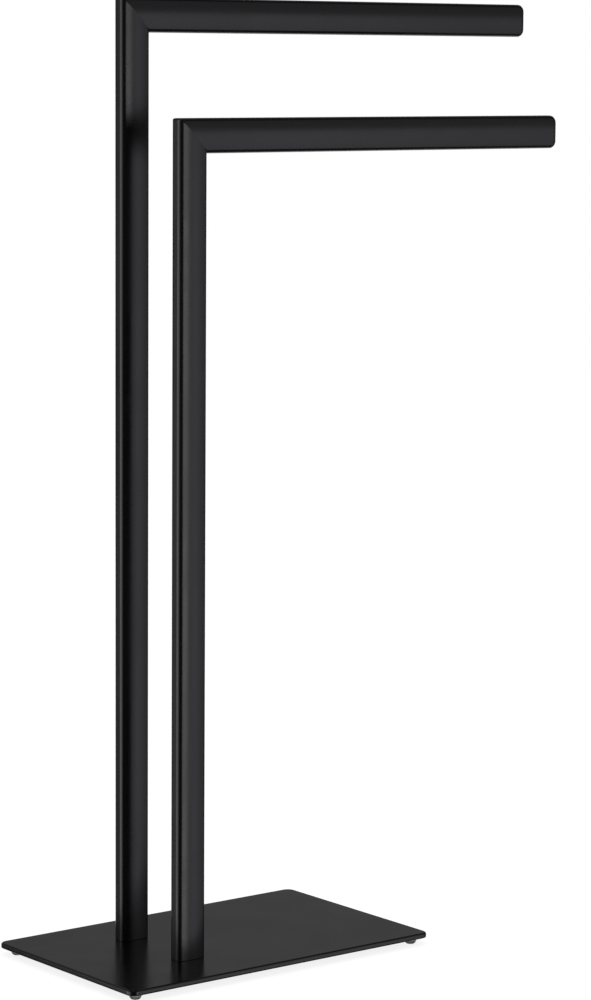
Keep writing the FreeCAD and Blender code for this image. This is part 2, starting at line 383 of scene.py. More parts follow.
@dataclass(frozen=True)
class PowderCoat(Finish):
    """Baked black powder coat on steel."""

    peel_size: float = 2.6 * MM
    peel_depth: float = 0.007 * MM
    grain_size: float = 0.25 * MM
    grain_share: float = 0.15
    grain_contrast: Span = (0.3, 0.7)
    grain_tint: float = 0.2
    marks_size: float = 70 * MM
    marks_amount: float = 0.05
    rubbed: Colour = (0.020, 0.020, 0.021)
    rub_patches: float = 7 * MM
    rub_amount: float = 0.3
    rub_shine: float = 0.06
    dust: Colour = (0.11, 0.11, 0.10)
    dust_specks: float = 1.6 * MM
    dust_amount: float = 0.5
    dust_dullness: float = 0.3

    def dress(self, graph: Graph, shader: Sockets) -> Layers:
        """Lay peel, grain, hand marks, rubbed edges and dust on the coat.

        Args:
            graph: The material's graph.
            shader: Inputs of its Principled BSDF.

        Returns:
            The coat's layers.
        """
        skin = CoatSkin().put(graph, Peel_Size=self.peel_size, Grain_Size=self.grain_size,
                              Grain_Share=self.grain_share)
        marks = HandMarks().put(graph, Size=self.marks_size, Amount=self.marks_amount)
        rub = EdgeRub().put(graph, Break_Size=self.rub_patches, Amount=self.rub_amount)["Mask"]
        dust = SettledDust().put(graph, Speck_Size=self.dust_specks, Amount=self.dust_amount)["Mask"]
        speckle = graph.ramp(skin["Grain"], *self.grain_contrast)
        coat = graph.tint(speckle, opaque(self.colour, 1 - self.grain_tint),
                          opaque(self.colour, 1 + self.grain_tint))
        worn = graph.tint(rub, coat, opaque(self.rubbed))
        gloss = graph.plus(self.roughness, marks["Gloss Shift"])
        smoothed = graph.minus(gloss, graph.times(rub, self.rub_shine))
        roughness = graph.plus(smoothed, graph.times(dust, self.dust_dullness))
        return Layers(graph.tint(dust, worn, opaque(self.dust)), roughness, skin["Height"], self.peel_depth)


@dataclass(frozen=True)
class MouldedPlastic(Finish):
    """Black moulded plastic with a fine spark texture."""

    spark_size: float = 0.5 * MM
    grain_size: float = 0.12 * MM
    grain_share: float = 0.6
    grain_lighter: float = 1.3
    spark_depth: float = 0.006 * MM
    marks_size: float = 18 * MM
    marks_amount: float = 0.06

    def dress(self, graph: Graph, shader: Sockets) -> Layers:
        """Add the spark texture and hand marks.

        Args:
            graph: The material's graph.
            shader: Inputs of its Principled BSDF.

        Returns:
            The plastic's layers.
        """
        skin = CoatSkin().put(graph, Peel_Size=self.spark_size, Grain_Size=self.grain_size,
                              Grain_Share=self.grain_share)
        marks = HandMarks().put(graph, Size=self.marks_size, Amount=self.marks_amount)
        colour = graph.tint(skin["Grain"], opaque(self.colour), opaque(self.colour, self.grain_lighter))
        roughness = graph.plus(self.roughness, marks["Gloss Shift"])
        return Layers(colour, roughness, skin["Height"], self.spark_depth)


@dataclass(frozen=True)
class ClearPolyurethane(Finish):
    """Soft clear polyurethane of the feet, a little cloudy and scuffed underneath."""

    clearness: float = 0.8
    refraction: float = 1.49
    clouds_per_metre: float = 450.0
    cloud_darker: float = 0.92
    cloud_roughness: float = 0.08
    cloud_depth: float = 0.006 * MM
    scuff_height: float = 1.2 * MM
    scuff_roughness: float = 0.35

    def dress(self, graph: Graph, shader: Sockets) -> Layers:
        """Cloud the colour and scuff the surface near the floor.

        Args:
            graph: The material's graph.
            shader: Inputs of its Principled BSDF.

        Returns:
            The foot's layers.
        """
        shader["Transmission Weight"].default_value = self.clearness
        shader["IOR"].default_value = self.refraction
        place = graph.place()
        cloud = graph.noise(place, self.clouds_per_metre, detail=3.0)
        colour = graph.tint(cloud, opaque(self.colour, self.cloud_darker), opaque(self.colour))
        worn = graph.ramp(graph.axes(place)[2], self.scuff_height, 0.0)
        scuffed = graph.plus(graph.times(worn, self.scuff_roughness),
                             graph.times(cloud, self.cloud_roughness))
        return Layers(colour, graph.plus(self.roughness, scuffed), cloud, self.cloud_depth)


@dataclass(frozen=True)
class AdhesiveFilm(Finish):
    """Clear acrylic adhesive with small trapped bubbles."""

    clearness: float = 0.4
    bubbles_per_metre: float = 1300.0
    bubble_edge: Span = (0.30, 0.22)
    bubble_lighter: float = 1.3
    bubble_roughness: float = 0.2
    bubble_depth: float = 0.02 * MM

    def dress(self, graph: Graph, shader: Sockets) -> Layers:
        """Scatter the bubbles.

        Args:
            graph: The material's graph.
            shader: Inputs of its Principled BSDF.

        Returns:
            The film's layers.
        """
        shader["Transmission Weight"].default_value = self.clearness
        cells = graph.cells(graph.place(), self.bubbles_per_metre)
        bubble = graph.ramp(cells["Distance"], *self.bubble_edge)
        colour = graph.tint(bubble, opaque(self.colour), opaque(self.colour, self.bubble_lighter))
        roughness = graph.plus(self.roughness, graph.times(bubble, self.bubble_roughness))
        return Layers(colour, roughness, bubble, self.bubble_depth)


@dataclass(frozen=True)
class WorkedSteel(Finish):
    """Bare or plated steel with the marks of the tool that worked it."""

    mark_length: float = 12 * MM
    mark_width: float = 0.12 * MM
    mark_depth: float = 0.012 * MM
    mark_roughness: float = 0.15
    tarnish: Colour = (0.30, 0.28, 0.25)
    tarnish_share: float = 0.3
    tarnish_roughness: float = 0.4
    patches_per_metre: float = 260.0
    patch_edge: Span = (0.45, 0.70)

    def dress(self, graph: Graph, shader: Sockets) -> Layers:
        """Draw long fine tool marks and a patchy tarnish.

        Args:
            graph: The material's graph.
            shader: Inputs of its Principled BSDF.

        Returns:
            The steel's layers.
        """
        shader["Metallic"].default_value = 1.0
        place = graph.place()
        squeeze = (1.0 / self.mark_length, 1.0 / self.mark_width, 1.0 / self.mark_width)
        drawn_out = graph.add("ShaderNodeMapping", {"Vector": place, "Scale": squeeze}).outputs[0]
        marks = graph.noise(drawn_out, 1.0, detail=3.0)
        patches = graph.ramp(graph.noise(place, self.patches_per_metre, detail=4.0), *self.patch_edge)
        tarnished = graph.times(patches, self.tarnish_share)
        colour = graph.tint(tarnished, opaque(self.colour), opaque(self.tarnish))
        rougher = graph.plus(graph.times(marks, self.mark_roughness),
                             graph.times(tarnished, self.tarnish_roughness))
        return Layers(colour, graph.plus(self.roughness, rougher), marks, self.mark_depth)


FINISHES: Mapping[Slot, Finish] = {
    Slot.PLATE: PowderCoat("plate_coat_baked", (0.0016, 0.0016, 0.0016), 0.23),
    Slot.TUBE: PowderCoat("tube_coat_baked", (0.0018, 0.0018, 0.0020), 0.28, rub_amount=0.2, dust_amount=0.3),
    Slot.CAP: MouldedPlastic("cap_plastic_moulded", (0.0018, 0.0018, 0.0019), 0.30),
    Slot.FOOT: ClearPolyurethane("clear_foot_cast", (0.46, 0.47, 0.48), 0.26),
    Slot.ADHESIVE: AdhesiveFilm("foot_adhesive_film", (0.62, 0.62, 0.60), 0.35),
    Slot.BLOCK: WorkedSteel("block_steel_sawn", (0.42, 0.42, 0.43), 0.38),
    Slot.SCREW: WorkedSteel("screw_zinc_plated", (0.62, 0.63, 0.66), 0.28, mark_length=2 * MM,
                            tarnish=(0.45, 0.47, 0.50), tarnish_share=0.4),
}


# ---- meshes -----------------------------------------------------------------------------
def put_in_scene(name: str, data: bpy.types.ID) -> bpy.types.Object:
    """Make an object at the origin.

    Args:
        name: The object's name.
        data: Its mesh, lamp or camera.

    Returns:
        The new object.
    """
    made = bpy.data.objects.new(name, data)
    bpy.context.scene.collection.objects.link(made)
    return made


def smooth(mesh: bpy.types.Mesh) -> None:
    """Shade a mesh smooth apart from its sharp edges."""
    mesh.polygons.foreach_set("use_smooth", [True] * len(mesh.polygons))
    mesh.set_sharp_from_angle(angle=CREASE)


def shaded_mesh(name: str, vertices: np.ndarray, faces: Sequence[Sequence[int]],
                soft: np.ndarray | None = None) -> bpy.types.Object:
    """Make a mesh object with outward faces, smooth apart from its sharp edges.

    Args:
        name: The piece's name.
        vertices: Points, one a row.
        faces: Vertex numbers of each face.
        soft: Shading normals, one a row; a face takes them if none of its own is zero.

    Returns:
        The new object, at the origin.
    """
    mesh = bpy.data.meshes.new(name)
    mesh.from_pydata(vertices.tolist(), [], [list(face) for face in faces])
    worked = bmesh.new()
    worked.from_mesh(mesh)
    bmesh.ops.recalc_face_normals(worked, faces=worked.faces)
    worked.to_mesh(mesh)
    worked.free()
    smooth(mesh)
    if soft is not None:
        bend_shading(mesh, soft)
    return put_in_scene(name, mesh)


def bend_shading(mesh: bpy.types.Mesh, soft: np.ndarray) -> None:
    """Give the faces whose every vertex has a soft normal those normals; the rest keep their own.

    Args:
        mesh: The mesh.
        soft: Shading normals, one a row, zero where the true normal stays.
    """
    given = np.linalg.norm(soft, axis=1) > 0.5
    corners = np.zeros((len(mesh.loops), 3))
    for face in mesh.polygons:
        held = list(face.vertices)
        if given[held].all():
            corners[face.loop_start:face.loop_start + face.loop_total] = soft[held]
    mesh.normals_split_custom_set(corners.tolist())


def ring_faces(rings: int, around: int, closed: bool = True) -> list[tuple[int, ...]]:
    """Faces that join rings of vertices into one skin.

    Args:
        rings: Number of rings.
        around: Number of vertices in each ring.
        closed: Whether the last ring joins the first; otherwise a flat face closes each of them.

    Returns:
        The faces.
    """
    faces = [] if closed else [tuple(range(around)), tuple(range((rings - 1) * around, rings * around))]
    for ring in range(rings if closed else rings - 1):
        following = (ring + 1) % rings
        for step in range(around):
            ahead = (step + 1) % around
            faces.append((ring * around + step, ring * around + ahead,
                          following * around + ahead, following * around + step))
    return faces


def install(piece: bpy.types.Object, slot: Slot, node: str) -> None:
    """Finish a new piece, fix it to the stand and let it stand for its frame node.

    Args:
        piece: The piece, in place.
        slot: The material slot it takes its finish from.
        node: The frame node that it replaces.
    """
    piece.data.materials.clear()
    piece.data.materials.append(FINISHES[slot].material())
    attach(piece, BODY)
    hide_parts(node)
    LOG.info("%s stands for %s", piece.name, node)


def dress_node(name: str, slot: Slot) -> None:
    """Give a frame node that shows as it is its finish.

    Args:
        name: The node.
        slot: The material slot it takes its finish from.
    """
    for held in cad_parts[name].material_slots:
        held.material = FINISHES[slot].material()
    LOG.info("%s is dressed as %s", name, slot.value)


@dataclass(frozen=True)
class Section:
    """A closed section: crowned wide faces, flat narrow ones and round corners."""

    height: float
    depth: float
    corner: float
    crown: float
    step: float = 0.45 * MM

    def outline(self, inset: float = 0.0) -> np.ndarray:
        """Points of the outline, drawn in by inset, with the same count for every inset.

        Args:
            inset: Distance inside the outer face.

        Returns:
            Points (across the wide face, depth), one a row, in order round the section.
        """
        half_span = self.height / 2
        crown_radius = (half_span ** 2 + self.crown ** 2) / (2 * self.crown)
        crown_centre = self.depth / 2 - crown_radius
        corner_across = half_span - self.corner
        rise = math.sqrt((crown_radius - self.corner) ** 2 - corner_across ** 2)
        corner_deep = crown_centre + rise
        lean = math.atan2(corner_across, rise)
        corner_steps = round(self.corner * (math.pi / 2 - lean) / self.step)
        crown_steps = round(crown_radius * lean / self.step)
        side_steps = round(corner_deep / self.step)
        crown_angles = np.linspace(0, lean, crown_steps, endpoint=False)
        crown_points = np.column_stack([
            (crown_radius - inset) * np.sin(crown_angles),
            crown_centre + (crown_radius - inset) * np.cos(crown_angles),
        ])
        corner_angles = np.linspace(math.pi / 2 - lean, 0, corner_steps, endpoint=False)
        corner_points = np.column_stack([
            corner_across + (self.corner - inset) * np.cos(corner_angles),
            corner_deep + (self.corner - inset) * np.sin(corner_angles),
        ])
        side_levels = np.linspace(corner_deep, 0, side_steps, endpoint=False)
        side_points = np.column_stack([np.full(side_steps, half_span - inset), side_levels])
        quarter = np.vstack([crown_points, corner_points, side_points])
        middle_side = np.array([[half_span - inset, 0.0]])
        half = np.vstack([quarter, middle_side, (quarter * (1, -1))[:0:-1]])
        return np.vstack([half, -half])

    def normals(self) -> np.ndarray:
        """Unit normals at the outline's points, one a row."""
        outward = self.outline() - self.outline(HAIR)
        return outward / np.linalg.norm(outward, axis=1, keepdims=True)


@dataclass(frozen=True)
class TubeProfile:
    """The flat-sided oval tube: its true section, and the softer one that its coat shades like."""

    section: Section = Section(30 * MM, 17 * MM, 6.8 * MM, 0.1 * MM)
    shaded: Section = Section(30 * MM, 18 * MM, 5 * MM, 3 * MM, step=0.05 * MM)
    wall: float = 1.5 * MM

    @property
    def height(self) -> float:
        """Height of the wide face."""
        return self.section.height

    def soft_normals(self) -> np.ndarray:
        """Normals of the softer section, next to each point of the true outline.

        Returns:
            Normals (across, depth), one a row.
        """
        true, soft = self.section.outline(), self.shaded.outline()
        gaps = ((true[:, None, :] - soft[None, :, :]) ** 2).sum(axis=2)
        return self.shaded.normals()[gaps.argmin(axis=1)]


@dataclass(frozen=True)
class TubeEnd:
    """One end of a length of tube: square or at a slope, with its edge softened."""

    level: float
    slope: float
    edge_radius: float
    fine_length: float = 0.0

    def along(self, across: np.ndarray, back: float) -> np.ndarray:
        """Where the end lies along the tube."""
        return self.level + back + self.slope * across


@dataclass(frozen=True)
class TubeLength:
    """A hollow length of tube between two ends, one closed skin inside and out."""

    profile: TubeProfile
    start: TubeEnd
    end: TubeEnd
    ring_spacing: float = 40 * MM
    fine_spacing: float = 0.2 * MM
    edge_steps: int = 3

    def rings(self) -> tuple[list[np.ndarray], range]:
        """Rings of the skin: up the outside, over the end, down the inside.

        Returns:
            Rings of points (across, depth, along), and which of them are on the tube's plain outside.
        """
        turns = [math.pi / 2 * step / self.edge_steps for step in range(self.edge_steps + 1)]
        made = [self.edge_ring(self.start, turn, 1) for turn in turns]
        plain_from = len(made) - 1
        made.extend(self.ring(self.start, 0.0, back) for back in self.fine_places(self.start))
        first = self.ring(self.start, 0.0, max(self.start.edge_radius, self.start.fine_length))
        last = self.ring(self.end, 0.0, -max(self.end.edge_radius, self.end.fine_length))
        bays = max(1, round(abs(self.end.level - self.start.level) / self.ring_spacing))
        made.extend(first + (last - first) * bay / bays for bay in range(1, bays))
        made.extend(self.ring(self.end, 0.0, -back) for back in reversed(self.fine_places(self.end)))
        plain = range(plain_from, len(made) + 1)
        made.extend(self.edge_ring(self.end, turn, -1) for turn in reversed(turns))
        made.extend(self.ring(end, self.profile.wall, 0.0) for end in (self.end, self.start))
        return made, plain

    def edge_ring(self, end: TubeEnd, turn: float, inwards: int) -> np.ndarray:
        """One ring of an end's softened edge; inwards is 1 at the start and -1 at the end."""
        back = inwards * end.edge_radius * (1 - math.cos(turn))
        return self.ring(end, end.edge_radius * (1 - math.sin(turn)), back)

    def fine_places(self, end: TubeEnd) -> list[float]:
        """Distances from an end of the close rings where it's ground.

        Args:
            end: The end.

        Returns:
            The distances, none if the end is left as cut.
        """
        length = end.fine_length - end.edge_radius
        count = math.ceil(length / self.fine_spacing)
        return [end.edge_radius + length * (place + 1) / count for place in range(count)]

    def ring(self, end: TubeEnd, inset: float, back: float) -> np.ndarray:
        """One ring of the skin near an end."""
        outline = self.profile.section.outline(inset)
        return np.column_stack([outline, end.along(outline[:, 0], back)])

    def build(self, name: str, turn: Callable[[np.ndarray], np.ndarray],
              aim: Callable[[np.ndarray, np.ndarray], np.ndarray]) -> bpy.types.Object:
        """Make the length as a mesh.

        Args:
            name: The piece's name.
            turn: Turns points (across, depth, along) into places on the stand.
            aim: Turns normals (across, depth) at those places into the stand's, zero where they don't hold.

        Returns:
            The mesh object.
        """
        rings, plain = self.rings()
        around = len(rings[0])
        places = turn(np.vstack(rings))
        soft = np.zeros_like(places)
        body = slice(plain.start * around, plain.stop * around)
        soft[body] = aim(np.tile(self.profile.soft_normals(), (len(plain), 1)), places[body])
        return shaded_mesh(name, places, ring_faces(len(rings), around), soft=soft)


# ---- sub-assemblies ---------------------------------------------------------------------
@dataclass(frozen=True)
class Rail:
    """One L-shaped rail: post, arm, mitre seam, end cap and the fixings inside its foot."""

    name: str
    profile: TubeProfile = TubeProfile()
    weld_width: float = 0.6 * MM
    weld_sink: float = 0.05 * MM
    mitre_edge: float = 0.12 * MM
    foot_edge: float = 0.35 * MM
    cap_edge: float = 0.12 * MM
    grind_radius: float = 2.4 * MM
    grind_margin: float = 0.4 * MM

    def corner(self) -> tuple[float, float, float]:
        """Work out where the axes of post and arm cross, from the frame's post and arm.

        Returns:
            The place.
        """
        low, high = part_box(f"{self.name}_post")
        arm_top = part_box(f"{self.name}_arm")[1].z
        return ((low.x + high.x) / 2, (low.y + high.y) / 2, arm_top - self.profile.height / 2)

    def stand_up(self, points: np.ndarray) -> np.ndarray:
        """Places of the post's points (across, depth, along), along being negative under the mitre."""
        return self.put(points[:, 0], points[:, 1], points[:, 2])

    def lie_down(self, points: np.ndarray) -> np.ndarray:
        """Places of the arm's points (across, depth, along), along counted from the mitre."""
        return self.put(points[:, 2], points[:, 1], -points[:, 0])

    def put(self, right: np.ndarray, deep: np.ndarray, up: np.ndarray) -> np.ndarray:
        """Grind points at the mitre's outer corner and put them on the stand.

        Args:
            right: Places along X from the corner of the axes.
            deep: Places along Y from it.
            up: Places along Z from it.

        Returns:
            Places on the stand, one a row.
        """
        x, y, z = self.corner()
        right, up = self.grind(right, up)
        return np.column_stack([x + right, y + deep, z + up])

    def grind(self, right: np.ndarray, up: np.ndarray) -> tuple[np.ndarray, np.ndarray]:
        """Draw points outside the rounding of the mitre's outer corner onto it.

        Args:
            right: Places along X from the corner of the axes.
            up: Places along Z from it.

        Returns:
            Both, ground.
        """
        centre = self.profile.height / 2 - self.grind_radius
        out, rise = -centre - right, up - centre
        reach = np.hypot(out, rise)
        beyond = (out > 0) & (rise > 0) & (reach > self.grind_radius)
        share = np.where(beyond, self.grind_radius / np.where(beyond, reach, 1.0), 1.0)
        return np.where(beyond, -centre - out * share, right), np.where(beyond, centre + rise * share, up)

    def aim_up(self, flat: np.ndarray, places: np.ndarray) -> np.ndarray:
        """Normals of the post."""
        return self.off_corner(np.column_stack([flat, np.zeros(len(flat))]), places)

    def aim_along(self, flat: np.ndarray, places: np.ndarray) -> np.ndarray:
        """Normals of the arm."""
        return self.off_corner(np.column_stack([np.zeros(len(flat)), flat[:, 1], -flat[:, 0]]), places)

    def off_corner(self, normals: np.ndarray, places: np.ndarray) -> np.ndarray:
        """Set the normals in the ground corner to zero.

        Args:
            normals: Normals on the stand.
            places: Where they stand.

        Returns:
            The normals.
        """
        x, _, z = self.corner()
        centre = self.profile.height / 2 - self.grind_radius
        ground = (places[:, 0] < x - centre - HAIR) & (places[:, 2] > z + centre + HAIR)
        return np.where(ground[:, None], 0.0, normals)

    def mitred_end(self, slope: float) -> TubeEnd:
        """The mitred end of the post (slope -1) or of the arm (slope 1), half a weld off the mitre."""
        level = slope * self.weld_width / math.sqrt(2)
        return TubeEnd(level, slope, self.mitre_edge, self.grind_radius + self.grind_margin)

    def post(self) -> bpy.types.Object:
        """Make the post: square and softly rounded on the plate, mitred at its top.

        Returns:
            The post.
        """
        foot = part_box(f"{self.name}_post")[0].z - self.corner()[2]
        tube = TubeLength(self.profile, TubeEnd(foot, 0.0, self.foot_edge), self.mitred_end(-1.0))
        return tube.build(f"{self.name}_post_tube", self.stand_up, self.aim_up)

    def arm(self) -> bpy.types.Object:
        """Make the arm: mitred at the post, square where the cap closes it.

        Returns:
            The arm.
        """
        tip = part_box(f"{self.name}_arm")[1].x - self.corner()[0]
        tube = TubeLength(self.profile, self.mitred_end(1.0), TubeEnd(tip, 0.0, self.cap_edge))
        return tube.build(f"{self.name}_arm_tube", self.lie_down, self.aim_along)

    def mitre_seam(self) -> bpy.types.Object:
        """Make the dressed weld in the mitre, a hair below both tubes.

        Returns:
            The seam.
        """
        half_weld = self.weld_width / math.sqrt(2)
        steps = [-1.0, -0.5, 0.0, 0.5, 1.0]
        rings = [self.seam_ring(self.weld_sink, step * half_weld) for step in steps]
        rings += [self.seam_ring(self.profile.wall, step * half_weld) for step in reversed(steps)]
        return shaded_mesh(f"{self.name}_mitre_seam", np.vstack(rings), ring_faces(len(rings), len(rings[0])))

    def seam_ring(self, inset: float, beyond: float) -> np.ndarray:
        """One ring of the seam, parallel to the mitre.

        Args:
            inset: Distance inside the outer face.
            beyond: Distance past the mitre, negative down the post and positive along the arm.

        Returns:
            Places on the stand.
        """
        outline = self.profile.section.outline(inset)
        across = outline[:, 0]
        if beyond <= 0:
            return self.stand_up(np.column_stack([outline, beyond - across]))
        return self.lie_down(np.column_stack([outline, beyond + across]))

    def build(self) -> None:
        """Make and dress the whole rail."""
        install(self.post(), Slot.TUBE, f"{self.name}_post")
        install(self.arm(), Slot.TUBE, f"{self.name}_arm")
        install(self.mitre_seam(), Slot.TUBE, f"{self.name}_mitre_weld")
        EndCap(self).build()
        dress_node(f"{self.name}_post_block", Slot.BLOCK)
        ScrewPair(self.name).build()


@dataclass(frozen=True)
class EndCap:
    """Moulded cap of an arm: a head with a well-rounded edge and a hollow plug inside the tube."""

    rail: Rail
    head_length: float = 5.0 * MM
    head_edge: float = 4.5 * MM
    seam_edge: float = 0.12 * MM
    plug_clearance: float = 0.25 * MM
    plug_wall: float = 1.6 * MM
    plug_edge: float = 0.4 * MM
    edge_steps: int = 14

    def stations(self, plug_start: float, tip: float) -> tuple[list[tuple[float, float, float]], int]:
        """Stations of the cap's skin, from the middle of its tip round to the plug's hollow.

        Args:
            plug_start: Where the plug starts, along the arm.
            tip: Where the head ends.

        Returns:
            Each station's inset, place and slant of the normal, and how many belong to the head.
        """
        seam = tip - self.head_length
        plug = self.rail.profile.wall + self.plug_clearance
        slants = [math.pi / 2 * (1 - step / self.edge_steps) for step in range(self.edge_steps + 1)]
        head = [(self.head_edge * (1 - math.cos(slant)), tip - self.head_edge * (1 - math.sin(slant)), slant)
                for slant in slants]
        head.append((0.0, seam + self.seam_edge, 0.0))
        rest = [(self.seam_edge, seam, 0.0), (plug, seam, 0.0), (plug, plug_start + self.plug_edge, 0.0),
                (plug + self.plug_edge, plug_start, 0.0), (plug + self.plug_wall, plug_start, 0.0),
                (plug + self.plug_wall, seam, 0.0)]
        return head + rest, len(head)

    def build(self) -> None:
        """Make and dress the cap."""
        low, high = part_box(f"{self.rail.name}_end_cap")
        start = self.rail.corner()[0]
        stations, head = self.stations(low.x - start, high.x - start)
        outlines = [self.rail.profile.section.outline(inset) for inset, _, _ in stations]
        around = len(outlines[0])
        rings = [np.column_stack([outline, np.full(around, along)])
                 for outline, (_, along, _) in zip(outlines, stations)]
        flat = self.rail.profile.soft_normals()
        soft = np.zeros((len(rings) * around, 3))
        for place, (_, _, slant) in enumerate(stations[:head]):
            level, outwards = math.sin(slant), flat * math.cos(slant)
            soft[place * around:(place + 1) * around] = np.column_stack(
                [np.full(around, level), outwards[:, 1], -outwards[:, 0]])
        cap = shaded_mesh(f"{self.rail.name}_cap", self.rail.lie_down(np.vstack(rings)),
                          ring_faces(len(rings), around, closed=False), soft=soft)
        install(cap, Slot.CAP, f"{self.rail.name}_end_cap")


class GrowTree:
    """A geometry node tree that grows one piece, with named inputs for its sizes."""

    def __init__(self, name: str, sizes: Mapping[str, float | int | Vector]) -> None:
        """Open the tree and name its inputs.

        Args:
            name: The tree's name.
            sizes: The inputs and their values; a float is a length, an int a count, a Vector a place.
        """
        kinds = {float: "NodeSocketFloat", int: "NodeSocketInt", Vector: "NodeSocketVector"}
        self.sizes = sizes
        self.tree = bpy.data.node_groups.new(name, "GeometryNodeTree")
        self.tree.interface.new_socket("Geometry", in_out="OUTPUT", socket_type="NodeSocketGeometry")
        self.identifiers = {}
        for label, value in sizes.items():
            socket = self.tree.interface.new_socket(label, in_out="INPUT", socket_type=kinds[type(value)])
            self.identifiers[label] = socket.identifier
        self.graph = Graph(self.tree)
        self.asked = self.graph.add("NodeGroupInput").outputs

    def close(self, geometry: Socket, slot: Slot) -> None:
        """End the tree: real geometry with its material.

        Args:
            geometry: What the tree has grown.
            slot: The material slot of the piece.
        """
        real = self.graph.add("GeometryNodeRealizeInstances", {0: geometry}).outputs[0]
        values = {"Geometry": real, "Material": FINISHES[slot].material()}
        coated = self.graph.add("GeometryNodeSetMaterial", values).outputs[0]
        self.graph.add("NodeGroupOutput", {"Geometry": coated})

    def grow(self, name: str) -> bpy.types.Object:
        """Run the tree and keep what it grows as a plain mesh.

        Args:
            name: The piece's name.

        Returns:
            The mesh object, at the origin, with no modifier.
        """
        host = put_in_scene(f"{name}_host", bpy.data.meshes.new(f"{name}_host"))
        modifier = host.modifiers.new("grow", "NODES")
        modifier.node_group = self.tree
        for label, value in self.sizes.items():
            modifier[self.identifiers[label]] = value
        bpy.context.view_layer.update()
        grown = host.evaluated_get(bpy.context.evaluated_depsgraph_get())
        mesh = bpy.data.meshes.new_from_object(grown)
        bpy.data.objects.remove(host)
        mesh.name = name
        smooth(mesh)
        return put_in_scene(name, mesh)


